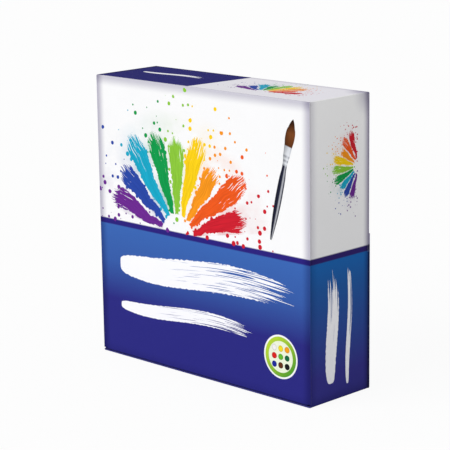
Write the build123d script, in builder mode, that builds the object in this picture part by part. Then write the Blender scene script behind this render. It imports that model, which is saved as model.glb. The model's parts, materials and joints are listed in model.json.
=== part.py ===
from build123d import *
import math
import os

# Paint box: a folding carton with a tuck-in lid that holds nine round jars of paint.
# Millimetres. X to the right, Y to the back, Z up. The origin is the middle of the base.
# The jars set the size of the carton: with these values it is about 115 wide, 115 high and 34 deep.

# Carton board and its folds
board = 0.5                 # thickness of the board
fold_radius = 0.35          # outside rounding where the board is creased
fold_gap = 0.1              # between two panels on either side of a moving crease
edge_relief = 0.2           # a back flap ends this far inside the side walls' outer faces

# Lid, tongue and dust flaps
tongue_length = 13.0        # from the lower crease to the tongue's free edge
tongue_corner = 6.0         # rounding of the tongue's free corners
tongue_side_gap = 1.2       # between the tongue's ends and the side walls
tongue_follow = 1 / 4       # the tongue turns this much as far as the lid
tongue_clearance = 0.2      # left under the tongue's edge as it swings out
lid_foot_gap = 0.4          # between the lid's lower crease and the bottom wall
flap_width = 28.0           # dust flap, from its crease to its free edge
flap_follow = 1 / 2         # a dust flap turns this much as far as the lid
flap_taper_spare = 0.1      # its upper edge falls this much faster than that, for each mm of width
flap_foot_taper = 0.2       # rise of its lower edge for each mm of width
flap_corner = 5.0           # rounding of its free corners
flap_end_gap = 0.5          # between the flap's upper corner and the top wall
flap_foot_gap = 1.5         # between the flap's lower corner and the tongue

# Glued panels
glue_flap_width = 12.0
glue_flap_taper = 2.0       # each end of the glue flap narrows by this much
back_flap_width = 30.0      # inner flaps of the back
back_flap_taper = 3.0       # each end of an inner flap narrows by this much
back_overlap = 7.0          # the lower outer flap lies this far over the upper one

# Jars
columns = 3
rows = 3
cap_radius = 18.0           # over the skirt, between the ribs
rib_height = 0.4            # the ribs stand out this far
rib_radius = 0.5
rib_count = 48
cap_wall = 0.9
cap_top = 1.1
cap_edge = 1.2              # rounding of the cap's top edge
cap_panel_depth = 0.3       # the middle of the cap's top is sunk by this much
cap_panel_rim = 3.0         # width of the raised ring around it
skirt_length = 10.0
liner_thickness = 0.8
seal_gap = 0.05             # between the liner and the cup's rim
thread_play = 0.3           # between the cap's and the cup's turned surfaces
thread_height = 0.6         # the thread stands out this far from the neck
thread_width = 1.0
thread_pitch = 3.0
thread_start = 2.3          # from the collar to the lowest thread
collar_height = 1.2
collar_gap = 0.4            # between the collar and the cap's skirt
cup_wall = 1.0
cup_floor = 1.2
cup_taper = 0.4             # the cup is this much narrower at its base, on the radius
foot_height = 0.6           # the base is hollowed by this much
foot_width = 2.0
cup_length = 28.65          # from the foot to the rim
headspace = 3.2             # from the paint's surface to the rim
paint_play = 0.05
paint_dish = 0.4            # the paint's surface is sunk by this much in the middle

# Room left around the jars
cap_gap_across = 0.8        # between neighbours in a row
cap_gap_up = 0.4            # between neighbours in a column
side_gap = 1.0              # to each side wall
head_gap = 0.6              # to the top wall
seat_gap = 0.3              # to the tongue under the lowest row
front_gap = 0.7             # to the dust flaps
rear_gap = 0.1              # to the back flaps

# Jar sizes that follow
outer_radius = cap_radius + rib_height
cap_bore = cap_radius - cap_wall
neck_radius = cap_bore - thread_play - thread_height
cup_bore = neck_radius - cup_wall
collar_radius = cap_bore + cap_wall / 2
jar_length = cup_length + seal_gap + liner_thickness + cap_top
skirt_foot = jar_length - skirt_length
collar_top = skirt_foot - collar_gap
paint_top = cup_length - headspace

# Carton sizes that follow
stack_height = rows * 2 * outer_radius + (rows - 1) * cap_gap_up
tongue_drop = ((1 + tongue_follow) * tongue_length) ** 2 / (2 * stack_height)
tongue_rise = tongue_drop + tongue_clearance
jar_seat = board + tongue_rise + board + seat_gap
width = columns * 2 * outer_radius + (columns - 1) * cap_gap_across + 2 * (side_gap + board)
height = jar_seat + stack_height + head_gap + board
depth = 2 * board + fold_gap + front_gap + jar_length + rear_gap + 3 * board

side = width / 2
front = -depth / 2
back = depth / 2
lid_inside = front + board
flap_outside = lid_inside + fold_gap
flap_inside = flap_outside + board
lower_flap_face = back - board
upper_flap_face = lower_flap_face - board
inner_flap_face = upper_flap_face - board
jar_back = inner_flap_face - rear_gap
lower_crease = board + lid_foot_gap
tongue_tilt = math.degrees(math.asin((tongue_rise - lid_foot_gap) / tongue_length))

os.makedirs("parts", exist_ok=True)


def save(piece, name):
    piece.part.label = name
    export_step(piece.part, f"parts/{name}.step")


def upright(y):
    # A vertical plane at this depth, seen from the front: X to the right, Z up.
    return Plane.XZ.offset(-y)


# Walls of the tube. The top and bottom walls take the corners, the side walls stand between them.


def wall_across(name, low, y_front, y_back, outer_edges):
    with BuildPart() as wall:
        with BuildSketch(Plane.XY.offset(low)):
            with Locations((0, (y_front + y_back) / 2)):
                Rectangle(width, y_back - y_front)
        extrude(amount=board)
        fillet(wall.edges().filter_by(Axis.Y).group_by(Axis.Z)[outer_edges], fold_radius)
    save(wall, name)


wall_across("wall_top", height - board, lid_inside + fold_gap, upper_flap_face, -1)
wall_across("wall_bottom", 0, front, lower_flap_face, 0)


def wall_beside(name, left_face):
    with BuildPart() as wall:
        with BuildSketch(Plane.XY.offset(board)):
            with Locations((left_face + board / 2, (flap_inside + fold_gap + inner_flap_face) / 2)):
                Rectangle(board, inner_flap_face - flap_inside - fold_gap)
        extrude(amount=height - 2 * board)
    save(wall, name)


wall_beside("wall_left", -side)
wall_beside("wall_right", side - board)

# The seam: a flap from the left wall, glued under the top wall.
seam_left = -side + board
seam_front = flap_inside + fold_gap
with BuildPart() as glue_flap:
    with BuildSketch(Plane.XY.offset(height - 2 * board)):
        with BuildLine():
            Polyline(
                (seam_left, seam_front),
                (seam_left + glue_flap_width, seam_front + glue_flap_taper),
                (seam_left + glue_flap_width, inner_flap_face - glue_flap_taper),
                (seam_left, inner_flap_face),
                close=True,
            )
        make_face()
    extrude(amount=board)
save(glue_flap, "glue_flap")

# The glued back, from the inside out: two inner flaps, the upper flap, the lower flap.


def inner_back_flap(name, hand):
    crease = hand * side
    edge = hand * (side - back_flap_width)
    with BuildPart() as flap:
        with BuildSketch(upright(upper_flap_face)):
            with BuildLine():
                Polyline(
                    (crease, board),
                    (crease, height - board),
                    (edge, height - board - back_flap_taper),
                    (edge, board + back_flap_taper),
                    close=True,
                )
            make_face()
        extrude(amount=board)
        outer = flap.edges().filter_by(Axis.Z).filter_by_position(Axis.X, crease - board / 2, crease + board / 2)
        fillet(outer.sort_by(Axis.Y)[-1], fold_radius)
    save(flap, name)


inner_back_flap("back_flap_left", -1)
inner_back_flap("back_flap_right", 1)


def outer_back_flap(name, y_outer, low, high, crease_height):
    with BuildPart() as flap:
        with BuildSketch(upright(y_outer)):
            with Locations((0, (low + high) / 2)):
                Rectangle(width - 2 * edge_relief, high - low)
        extrude(amount=board)
        crease = flap.edges().filter_by(Axis.X).filter_by_position(Axis.Z, crease_height - board / 2,
                                                                   crease_height + board / 2)
        fillet(crease.sort_by(Axis.Y)[-1], fold_radius)
    save(flap, name)


back_seam = (height + back_overlap) / 2
outer_back_flap("back_flap_upper", lower_flap_face, back_seam - back_overlap, height, height)
outer_back_flap("back_flap_lower", back, 0, back_seam, 0)

# The lid covers the whole front and turns about its upper outside edge.
lid_foot = lower_crease + board + fold_gap
with BuildPart() as lid_panel:
    with BuildSketch(upright(lid_inside)):
        with Locations((0, (lid_foot + height) / 2)):
            Rectangle(width, height - lid_foot)
    extrude(amount=board)
    lid_crease = lid_panel.edges().filter_by(Axis.X).group_by(Axis.Z)[-1]
    fillet(lid_crease.sort_by(Axis.Y)[0], fold_radius)
save(lid_panel, "lid_panel")

# The tongue starts at the lid's lower crease and rises a little towards its free edge,
# so that it can swing out over the bottom wall. It turns about its lower front edge.
tongue_side = side - board - tongue_side_gap
tongue_front = front + board * math.sin(math.radians(tongue_tilt))
tongue_face = Plane((0, tongue_front, lower_crease)).rotated((tongue_tilt, 0, 0))
with BuildPart() as tuck_tongue:
    with BuildSketch(tongue_face):
        with Locations((0, tongue_length / 2)):
            Rectangle(2 * tongue_side, tongue_length)
    extrude(amount=board)
    free_corners = tuck_tongue.edges().group_by(SortBy.LENGTH)[0].sort_by(Axis.Y)[-2:]
    fillet(free_corners, tongue_corner)
    fillet(tuck_tongue.edges().filter_by(Axis.X).group_by(Axis.Z)[0].sort_by(Axis.Y)[0], fold_radius)
save(tuck_tongue, "tuck_tongue")

# Dust flaps: each turns about its upright outside edge. The upper edge falls away faster than the flap
# turns against the lid, so the lid never catches it.
flap_top = height - board - flap_end_gap
flap_foot = jar_seat - seat_gap + flap_foot_gap
flap_taper = flap_follow + flap_taper_spare


def dust_flap(name, hand):
    crease = hand * side
    edge = hand * (side - flap_width)
    with BuildPart() as flap:
        with BuildSketch(upright(flap_inside)) as outline:
            with BuildLine():
                Polyline(
                    (crease, flap_foot),
                    (crease, flap_top),
                    (edge, flap_top - flap_width * flap_taper),
                    (edge, flap_foot + flap_width * flap_foot_taper),
                    close=True,
                )
            make_face()
            fillet(outline.vertices().sort_by(Axis.X)[:2] if hand > 0 else outline.vertices().sort_by(Axis.X)[-2:],
                   flap_corner)
        extrude(amount=board)
        outer = flap.edges().filter_by(Axis.Z).filter_by_position(Axis.X, crease - board / 2, crease + board / 2)
        fillet(outer.sort_by(Axis.Y)[0], fold_radius)
    save(flap, name)


dust_flap("dust_flap_left", -1)
dust_flap("dust_flap_right", 1)

# Jars. Each lies on its side with the cap to the front. A jar's own length runs from its foot,
# and its profile is drawn in a plane with the radius along X and that length towards the front.


def jar_profile(x, z):
    return Plane(origin=(x, jar_back, z), x_dir=(1, 0, 0), z_dir=(0, 0, -1))


def jar_section(x, z, along):
    return Plane(origin=(x, jar_back - along, z), x_dir=(1, 0, 0), z_dir=(0, -1, 0))


def jar_axis(x, z):
    return Axis((x, jar_back, z), (0, -1, 0))


def thread_profile(plane, root, crest, middle):
    # One turn of thread, seen in section: sloping flanks from a surface at radius root to a crest.
    half = thread_width / 2
    with BuildSketch(plane) as profile:
        with BuildLine():
            Polyline(
                (root, middle - half),
                (crest, middle - half / 2),
                (crest, middle + half / 2),
                (root, middle + half),
                close=True,
            )
        make_face()
    return profile.sketch


lowest_thread = collar_top + thread_start
bead_root = cup_wall / 2    # a bead starts this far inside the surface that it stands on


def jar_cup(number, x, z):
    plane = jar_profile(x, z)
    axis = jar_axis(x, z)
    base_radius = neck_radius - cup_taper
    base_bore = cup_bore - cup_taper
    with BuildPart() as cup:
        with BuildSketch(plane):
            with BuildLine():
                Polyline(
                    (0, foot_height),
                    (base_radius - foot_width, foot_height),
                    (base_radius - foot_width, 0),
                    (base_radius, 0),
                    (neck_radius, collar_top - collar_height),
                    (collar_radius, collar_top - collar_height),
                    (collar_radius, collar_top),
                    (neck_radius, collar_top),
                    (neck_radius, cup_length),
                    (cup_bore, cup_length),
                    (base_bore, foot_height + cup_floor),
                    (0, foot_height + cup_floor),
                    close=True,
                )
            make_face()
        revolve(axis=axis)
        for turn in range(2):
            revolve(
                thread_profile(plane, neck_radius - bead_root, neck_radius + thread_height,
                               lowest_thread + turn * thread_pitch),
                axis=axis,
            )
    save(cup, f"jar_cup_{number}")


def jar_paint(number, x, z):
    foot = foot_height + cup_floor + paint_play
    level_share = (paint_top - foot) / (cup_length - foot_height - cup_floor)
    low_radius = cup_bore - cup_taper - paint_play
    top_radius = low_radius + cup_taper * level_share
    dish_radius = (top_radius**2 + paint_dish**2) / (2 * paint_dish)
    with BuildPart() as paint:
        with BuildSketch(jar_profile(x, z)):
            with BuildLine():
                Polyline((0, paint_top - paint_dish), (0, foot), (low_radius, foot), (top_radius, paint_top))
                RadiusArc((top_radius, paint_top), (0, paint_top - paint_dish), dish_radius)
            make_face()
        revolve(axis=jar_axis(x, z))
    save(paint, f"jar_paint_{number}")


def jar_cap(number, x, z):
    plane = jar_profile(x, z)
    axis = jar_axis(x, z)
    rib_foot = skirt_foot + cap_top / 2
    rib_head = jar_length - cap_edge
    with BuildPart() as cap:
        with BuildSketch(plane):
            with BuildLine():
                Polyline(
                    (0, jar_length - cap_panel_depth),
                    (cap_radius - cap_panel_rim, jar_length - cap_panel_depth),
                    (cap_radius - cap_panel_rim, jar_length),
                    (cap_radius - cap_edge, jar_length),
                )
                RadiusArc((cap_radius - cap_edge, jar_length), (cap_radius, rib_head), cap_edge)
                Polyline(
                    (cap_radius, rib_head),
                    (cap_radius, skirt_foot),
                    (cap_bore, skirt_foot),
                    (cap_bore, jar_length - cap_top),
                    (0, jar_length - cap_top),
                    (0, jar_length - cap_panel_depth),
                )
            make_face()
        revolve(axis=axis)
        with BuildSketch(jar_section(x, z, rib_foot)):
            with PolarLocations(outer_radius - rib_radius, rib_count):
                Circle(rib_radius)
            Circle(cap_radius - cap_wall / 2, mode=Mode.SUBTRACT)
        extrude(amount=rib_head - rib_foot)
        revolve(
            thread_profile(plane, cap_bore + bead_root, neck_radius + thread_play,
                           lowest_thread + thread_pitch / 2),
            axis=axis,
        )
    save(cap, f"jar_cap_{number}")


def jar_liner(number, x, z):
    with BuildPart() as liner:
        with BuildSketch(jar_section(x, z, cup_length + seal_gap)):
            Circle(cap_bore - thread_play)
        extrude(amount=liner_thickness)
    save(liner, f"jar_liner_{number}")


# The jars are numbered from the upper left, row by row.
pitch_across = 2 * outer_radius + cap_gap_across
pitch_up = 2 * outer_radius + cap_gap_up
for row in range(rows):
    for column in range(columns):
        jar_number = row * columns + column + 1
        jar_x = (column - (columns - 1) / 2) * pitch_across
        jar_z = jar_seat + outer_radius + (rows - 1 - row) * pitch_up
        jar_cup(jar_number, jar_x, jar_z)
        jar_paint(jar_number, jar_x, jar_z)
        jar_cap(jar_number, jar_x, jar_z)
        jar_liner(jar_number, jar_x, jar_z)
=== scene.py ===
# %% [markdown]
# # A gouache paint box
# A folding carton of printed board holds nine round jars of gouache behind a tuck-in lid.
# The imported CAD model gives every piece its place, so the looks are built around it, in metres.
# The real box is one printed and creased sheet. Here each panel is rebuilt as thin board with
# rounded creases, because a crease is what makes a carton look folded and not like a solid block.

# %% Load the frame
import functools
import json
import math
import bmesh
import bpy
from mathutils import Matrix, Vector


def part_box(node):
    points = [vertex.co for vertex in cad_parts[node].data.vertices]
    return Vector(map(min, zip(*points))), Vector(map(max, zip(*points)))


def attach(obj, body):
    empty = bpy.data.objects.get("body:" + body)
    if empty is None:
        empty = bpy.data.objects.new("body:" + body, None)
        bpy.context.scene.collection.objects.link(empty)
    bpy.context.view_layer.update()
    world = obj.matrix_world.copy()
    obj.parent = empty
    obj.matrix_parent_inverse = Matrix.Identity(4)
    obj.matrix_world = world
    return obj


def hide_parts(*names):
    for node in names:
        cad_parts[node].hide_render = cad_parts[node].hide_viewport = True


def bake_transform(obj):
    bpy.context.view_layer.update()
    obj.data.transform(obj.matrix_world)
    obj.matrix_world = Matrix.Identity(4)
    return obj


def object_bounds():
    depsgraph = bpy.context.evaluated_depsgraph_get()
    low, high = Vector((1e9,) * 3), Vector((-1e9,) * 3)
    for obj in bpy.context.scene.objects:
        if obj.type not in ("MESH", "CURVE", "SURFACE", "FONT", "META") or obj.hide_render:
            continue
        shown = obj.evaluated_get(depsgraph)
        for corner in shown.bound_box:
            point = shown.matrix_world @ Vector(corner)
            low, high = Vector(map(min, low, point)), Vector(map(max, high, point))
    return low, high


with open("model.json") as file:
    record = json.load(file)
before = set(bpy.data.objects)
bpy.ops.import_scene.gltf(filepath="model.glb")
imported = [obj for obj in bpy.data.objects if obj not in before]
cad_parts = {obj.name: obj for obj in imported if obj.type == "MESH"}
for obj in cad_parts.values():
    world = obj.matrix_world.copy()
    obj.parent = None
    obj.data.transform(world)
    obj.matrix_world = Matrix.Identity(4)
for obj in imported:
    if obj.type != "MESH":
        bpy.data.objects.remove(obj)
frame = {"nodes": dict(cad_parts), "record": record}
cad_low, cad_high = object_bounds()
print("CAD box in mm:", [round(1000 * size, 2) for size in cad_high - cad_low])

# %% [markdown]
# ## Sizes
# Every size of the carton is read from the frame. Only what the CAD model leaves out is named here:
# the outside radius of a crease, which on half-millimetre board is about its own thickness,
# and how far the panels belly out over the jars.

# %% Sizes
MM = 0.001
lid_low, lid_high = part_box("lid_panel")
SIDE = lid_high.x
FRONT = lid_low.y
BACK = cad_high.y
TOP = lid_high.z
BOARD = lid_high.y - lid_low.y
CREASE = 0.6 * MM
CREASE_STEPS = 8
BELLY = 0.15 * MM
SIDE_BELLY = 0.08 * MM
WIDTH = 2 * SIDE
print("board, width, height and depth in mm:", [round(s / MM, 2) for s in (BOARD, WIDTH, TOP, BACK - FRONT)])

# %% [markdown]
# ## Camera
# The photograph looks at the carton's front right corner from a little above, with a long lens.
# Matching the seven visible corners of a box gives these angles, a distance in box heights and the
# sideways and upward offset of the lens. The camera starts at the middle of the front, is turned by
# each angle and then moved back. The image is square, 450 pixels wide.

# %% Camera
AZIMUTH = math.radians(44.77)
ELEVATION = math.radians(12.66)
ROLL = math.radians(-0.83)
DISTANCE = 6.114 * TOP
OFFSET_RIGHT = 0.0861 * TOP
OFFSET_UP = 0.0341 * TOP
IMAGE_WIDTH = 450
FOCAL_PIXELS = 1817.6


def add_object(name, data):
    thing = bpy.data.objects.new(name, data)
    bpy.context.scene.collection.objects.link(thing)
    return thing


camera_data = bpy.data.cameras.new("Camera")
camera_data.sensor_width = 36
camera_data.lens = FOCAL_PIXELS * camera_data.sensor_width / IMAGE_WIDTH
camera_data.clip_start = 0.01
camera_data.clip_end = 20
camera = add_object("Camera", camera_data)
camera.matrix_world = functools.reduce(Matrix.__matmul__, (
    Matrix.Translation((0, FRONT, TOP / 2)), Matrix.Rotation(AZIMUTH, 4, "Z"),
    Matrix.Rotation(math.pi / 2 - ELEVATION, 4, "X"), Matrix.Rotation(ROLL, 4, "Z"),
    Matrix.Translation((OFFSET_RIGHT, OFFSET_UP, DISTANCE))))
bpy.context.scene.camera = camera
print(f"lens {camera_data.lens:.1f} mm, {camera.matrix_world.translation.length:.3f} m from the base")

# %% [markdown]
# ## Node and colour helpers
# Colours are written as sRGB hex, the way a designer reads them off a swatch, and one function turns
# them to the linear values that Blender's sockets take. One small function adds a node. A kind that
# is a sign or in capitals is the operation of a Math node. A named value goes to the input of that
# name, or else it sets that option. Plain values go to the inputs in order, but only to those that
# the options leave in use: a Map Range is its value, the two ends it comes from and the two it goes
# to, and a Mix is its mask, what lies under and the ink. A node stands for its first output in use.

# %% Helpers for materials
SIGNS = {"+": "ADD", "-": "SUBTRACT", "*": "MULTIPLY", "/": "DIVIDE"}
SMOOTH = {"interpolation_type": "SMOOTHSTEP"}
INK = {"data_type": "RGBA"}         # a Mix of colours lays one ink over another


def colour(hex_text):
    shares = [int(hex_text[i:i + 2], 16) / 255 for i in (1, 3, 5)]
    linear = [s / 12.92 if s <= 0.04045 else ((s + 0.055) / 1.055) ** 2.4 for s in shares]
    return (*linear, 1.0)


def in_words(text):
    return text.lower().replace(" ", "_")


def in_use(sockets):
    return [socket for socket in sockets if socket.enabled]


def adder(tree):
    """The function that adds a node to this tree."""
    def add(kind, *values, **named):
        operation = SIGNS.get(kind, kind)
        if operation.isupper():
            node = tree.nodes.new("ShaderNodeMath")
            node.operation = operation
        else:
            node = tree.nodes.new(kind if "Node" in kind else f"ShaderNode{kind}")
        for key, value in [*named.items(), *enumerate(values)]:
            sockets = [socket for number, socket in enumerate(in_use(node.inputs))
                       if key in (number, in_words(socket.name), in_words(socket.identifier))]
            if isinstance(value, bpy.types.Node):
                value = in_use(value.outputs)[0]
            if not sockets:
                setattr(node, key, value)
            elif isinstance(value, bpy.types.NodeSocket):
                tree.links.new(value, sockets[0])
            else:
                sockets[0].default_value = value
        return node
    return add


def combine(add, operation, first, *others):
    """One operation over any number of values, such as a product of several masks."""
    return functools.reduce(lambda result, value: add(operation, result, value), others, first)


def set_stops(node, stops, interpolation="LINEAR"):
    """Colours of a ramp, at their places between 0 and 1."""
    node.color_ramp.interpolation = interpolation
    elements = node.color_ramp.elements
    elements.remove(elements[-1])
    for number, (position, hex_text) in enumerate(stops):
        element = elements[0] if number == 0 else elements.new(position)
        element.position = position
        element.color = colour(hex_text)
    return node


def new_material(name):
    material = bpy.data.materials.new(name)
    material.use_nodes = True
    material.node_tree.nodes.clear()
    return material, adder(material.node_tree)


def finish_material(material, shader):
    adder(material.node_tree)("OutputMaterial", shader)
    print(f"material {material.name}: {len(material.node_tree.nodes)} nodes")
    return material


def finish_surface(material, ink, roughness, height, strength, depth, ior=1.5, **others):
    """The end of every finish of the box: a bump and the surface shader."""
    add = adder(material.node_tree)
    bump = add("Bump", height=height, strength=strength, distance=depth)
    return finish_material(material, add("BsdfPrincipled", base_color=ink, roughness=roughness, normal=bump,
                                         ior=ior, **others))


print("sRGB #808080 is", round(colour("#808080")[0], 4), "linear")

# %% [markdown]
# ## Stage
# The object stands on a plain pale floor under one broad soft lamp from the front left and an even
# sky, so the side wall falls into half shade. The floor is flat and large. Seen straight, mirrored or
# through the jars it is mostly a white glow and keeps only a trace of its shadow, while it still
# lights the box as paper would. So the lamps can stay where inks look as they are written.

# %% Stage
FLOOR_SIZE = 3.0
SHADE_SHARE = 0.07          # how much of the floor's real shading the camera sees
SKY_LEVEL = 0.50
SUN_LEVEL = 1.73
SUN_WIDTH = math.radians(50)
SUN_FROM = Vector((-0.33, -0.86, 0.70))
WHITE = colour("#ffffff")

floor_mesh = bpy.data.meshes.new("Floor")
half = FLOOR_SIZE / 2
floor_mesh.from_pydata([(-half, -half, 0), (half, -half, 0), (half, half, 0), (-half, half, 0)], [],
                       [(0, 1, 2, 3)])
add_object("Floor", floor_mesh)

floor_material, add = new_material("pale floor")
rays = add("LightPath").outputs
seen = combine(add, "MAXIMUM", rays["Is Camera Ray"], rays["Is Glossy Ray"], rays["Is Transmission Ray"])
paper = add("BsdfDiffuse", color=colour("#f4f4f4"))
glow = add("Emission", color=WHITE, strength=1.0)
share = add("*", seen, 1 - SHADE_SHARE)
floor_mesh.materials.append(finish_material(floor_material, add("MixShader", share, paper, glow)))

world = bpy.data.worlds.new("Studio")
bpy.context.scene.world = world
world.use_nodes = True
world.node_tree.nodes.clear()
add = adder(world.node_tree)
sky = add("Background", color=WHITE, strength=SKY_LEVEL)
backdrop = add("Background", color=WHITE, strength=1.0)
add("OutputWorld", add("MixShader", add("LightPath").outputs["Is Camera Ray"], sky, backdrop))

sun_data = bpy.data.lights.new("Softbox", "SUN")
sun_data.energy = SUN_LEVEL
sun_data.angle = SUN_WIDTH
sun = add_object("Softbox", sun_data)
sun.rotation_euler = SUN_FROM.to_track_quat("Z", "Y").to_euler()
bpy.context.scene.view_settings.view_transform = "Standard"
print("sun", SUN_LEVEL, "sky", SKY_LEVEL)

# %% [markdown]
# ## Printed motifs
# The print is flat ink, so it belongs in the material and not in the mesh. Each motif is a node group
# that lays its ink over the colour under it, the way a press lays one plate over another. A group can
# be used on several faces at other sizes. Places are in millimetres on the face, but for the fan's.
# The motifs are plain ones for a paint set: a fan of brush strokes with drops, a loose white stroke,
# a round badge with nine dots and a picture of a brush.

# %% Helpers for print groups
PAINTS = ["#cf2030", "#ee5a1e", "#f7961c", "#fbd116", "#8cc83c", "#0f9a4b", "#18a8c8", "#2a48a6", "#6c2a90"]
PAINT_COUNT = len(PAINTS)
WHITE_INK = "#fafafb"


def new_group(name, *numbers):
    """A group with the colour under the motif and some numbers as its inputs."""
    tree = bpy.data.node_groups.new(name, "ShaderNodeTree")
    for label in ("Under", *numbers):
        kind = "Color" if label == "Under" else "Float"
        tree.interface.new_socket(name=label, in_out="INPUT", socket_type=f"NodeSocket{kind}")
    tree.interface.new_socket(name="Colour", in_out="OUTPUT", socket_type="NodeSocketColor")
    add = adder(tree)
    return add, *list(add("NodeGroupInput").outputs)[:-1]


def finish_group(result):
    tree = result.id_data
    adder(tree)("NodeGroupOutput", result)
    print(f"print group {tree.name}: {len(tree.nodes)} nodes")
    return tree


def in_steps(inks, offset=0.0):
    """Even places along a ramp, one for each ink."""
    return [((number + offset) / len(inks), hex_text) for number, hex_text in enumerate(inks)]


def length_of(add, x, y):
    return add("VectorMath", add("CombineXYZ", x, y), operation="LENGTH")


print(PAINT_COUNT, "printed colours")

# %% [markdown]
# ## Fan of brush strokes
# Nine strokes spread like a fan from one point. In polar coordinates that is one stroke repeated:
# the angle, cut into nine slices, gives the stroke's number, and what is left over gives the
# place across it. The number seeds the noise, so each stroke gets its own wobble, length and dry
# bristle gaps. Lengths are shares of the fan's reach. Drops are Voronoi cells whose distance from
# their own middle is under a random radius. A thin wash of the same colours lies under it all.

# %% Group for the fan
FAN_ANGLES = (math.radians(10), math.radians(170))
STROKE_PITCH = (FAN_ANGLES[1] - FAN_ANGLES[0]) / PAINT_COUNT
STROKE_ROOT = 0.2
STROKE_WIDTHS = (0.024, 0.106)      # half a stroke's width at its root and near its tip
STROKE_LENGTHS = (0.78, 1.08)
RAG = 0.022                         # how far the edges fray
BRISTLE_GRAIN = (95.0, 5.0)         # bristle marks across and along a stroke: long and thin
DROP_CELL = 0.062
DROP_SIZES = (0.06, 0.4)            # shares of a cell
WOBBLE = 0.05                       # how far a stroke's middle line strays
SEED_STEP = 5.3                     # far enough along the noise for the next stroke to look unlike
TIP_FALL = 9.0                      # how steeply the sides of a tip fall back, so that it is round
TIP_RAG = (-0.1, 0.04)              # how far the bristles cut a tip short or draw it out
WIDEST_AT = 0.8
WOBBLE_WAVES = 4.0                  # waves of the middle line from the hub to the fan's reach
RAG_GRAIN = 34.0                    # the same for the frayed edges
WASH_GRAIN = 3.2                    # and for the patches of the wash
# Each of these is two places on the way out and the values there, as a Map Range takes them.
DRYING = (0.45, 1.05, 0.8, 0.5)     # the noise past which the bristles leave a gap
WASH_FADING = (0.5, 1.15, 0.55, 0.0)
DROP_RARITY = (0.8, 1.4, 0.4, 1.0)  # the share of cells that stay without a drop


def make_fan():
    add, under, x, y, variant = new_group("brush stroke fan", "Across", "Up", "Seed")
    spot = add("CombineXYZ", x, y, variant)
    radius = length_of(add, x, y)
    share = add("MapRange", add("ARCTAN2", y, x), *FAN_ANGLES, clamp=False)
    slices = add("*", share, PAINT_COUNT)
    seed = add("MULTIPLY_ADD", add("FLOOR", slices), SEED_STEP, variant)
    centred = add("-", add("FRACT", slices), 0.5)
    off_middle = add("*", centred, add("*", radius, STROKE_PITCH))

    # A slow wobble of the middle line, faster ragged edges and a long-grained noise for the bristles.
    slow = add("CombineXYZ", add("*", radius, WOBBLE_WAVES), seed)
    wobble = add("MapRange", add("TexNoise", slow, scale=1.0, detail=1.0), to_min=-WOBBLE, to_max=WOBBLE)
    across = add("+", off_middle, wobble)
    ragged = add("TexNoise", spot, scale=RAG_GRAIN, detail=3.0)
    ragged = add("MapRange", ragged, to_min=-RAG, to_max=RAG)
    grain_across = add("*", across, BRISTLE_GRAIN[0])
    grain_along = add("*", radius, BRISTLE_GRAIN[1])
    bristles = add("TexNoise", add("CombineXYZ", grain_across, grain_along, seed), scale=1.0, detail=2.0)

    # The stroke ends where the first of its two sides, its tip and its root is reached.
    dice = add("TexWhiteNoise", noise_dimensions="1D", w=seed)
    length = add("MapRange", dice, 0.0, 1.0, *STROKE_LENGTHS)
    half_width = add("MapRange", radius, STROKE_ROOT, WIDEST_AT, *STROKE_WIDTHS)
    reach = add("ABSOLUTE", across)
    side_edge = add("+", add("-", half_width, reach), ragged)
    tip_rag = add("MapRange", bristles, 0.3, 0.7, *TIP_RAG)
    tip_edge = add("+", add("-", length, radius), tip_rag)
    tip_edge = add("MULTIPLY_ADD", add("*", reach, reach), -TIP_FALL, tip_edge)
    root_edge = add("+", add("-", radius, STROKE_ROOT), ragged)
    edge = combine(add, "MINIMUM", side_edge, tip_edge, root_edge)
    shape = add("MapRange", edge, from_max=0.005, **SMOOTH)
    dry_from = add("MapRange", radius, *DRYING)
    dryness = add("-", bristles, dry_from)
    gaps = add("MapRange", dryness, from_max=0.03, to_min=1.0, to_max=0.0, **SMOOTH)
    inside = add("*", add("GREATER_THAN", share, 0.0), add("LESS_THAN", share, 1.0))
    stroke = combine(add, "*", shape, gaps, inside)

    # Wash: the colours run into each other and fade out in patches.
    clouds = add("TexNoise", spot, scale=WASH_GRAIN, detail=5.0)
    clouds = add("MapRange", clouds, 0.42, 0.62)
    fade = add("MapRange", radius, *WASH_FADING)
    hub = add("MapRange", radius, 0.16, 0.3, **SMOOTH)
    wash = combine(add, "*", clouds, fade, inside, hub)
    ink = set_stops(add("ValToRGB", share), in_steps(PAINTS, 0.5))
    result = add("Mix", wash, under, ink, **INK)

    # Drops: more of them near the strokes' tips, and none far out.
    cells = add("TexVoronoi", add("CombineXYZ", x, y), scale=1 / DROP_CELL, voronoi_dimensions="2D").outputs
    chance = add("SeparateXYZ", cells["Color"]).outputs
    middle = add("SeparateXYZ", cells["Position"]).outputs
    from_hub = add("VectorMath", cells["Position"], operation="LENGTH")
    drop_share = add("MapRange", add("ARCTAN2", middle["Y"], middle["X"]), *FAN_ANGLES)
    size = add("MapRange", chance["X"], 0.0, 1.0, *DROP_SIZES)
    drop = add("MapRange", add("-", size, cells["Distance"]), from_max=0.05, **SMOOTH)
    rarity = add("MapRange", from_hub, *DROP_RARITY)
    kept = add("GREATER_THAN", chance["Y"], rarity)
    drop = combine(add, "*", drop, kept, add("GREATER_THAN", middle["Y"], 0.04))
    bands = in_steps(PAINTS)
    ink = set_stops(add("ValToRGB", drop_share), bands, "CONSTANT")
    result = add("Mix", drop, result, ink, **INK)

    # Strokes, lighter and darker along the bristles as thick and thin gouache is.
    body = add("MapRange", bristles, 0.25, 0.75, 0.82, 1.15)
    ink = set_stops(add("ValToRGB", share), bands, "CONSTANT")
    ink = add("VectorMath", ink, body, operation="SCALE")
    return finish_group(add("Mix", stroke, result, ink, **INK))


fan_group = make_fan()

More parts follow.
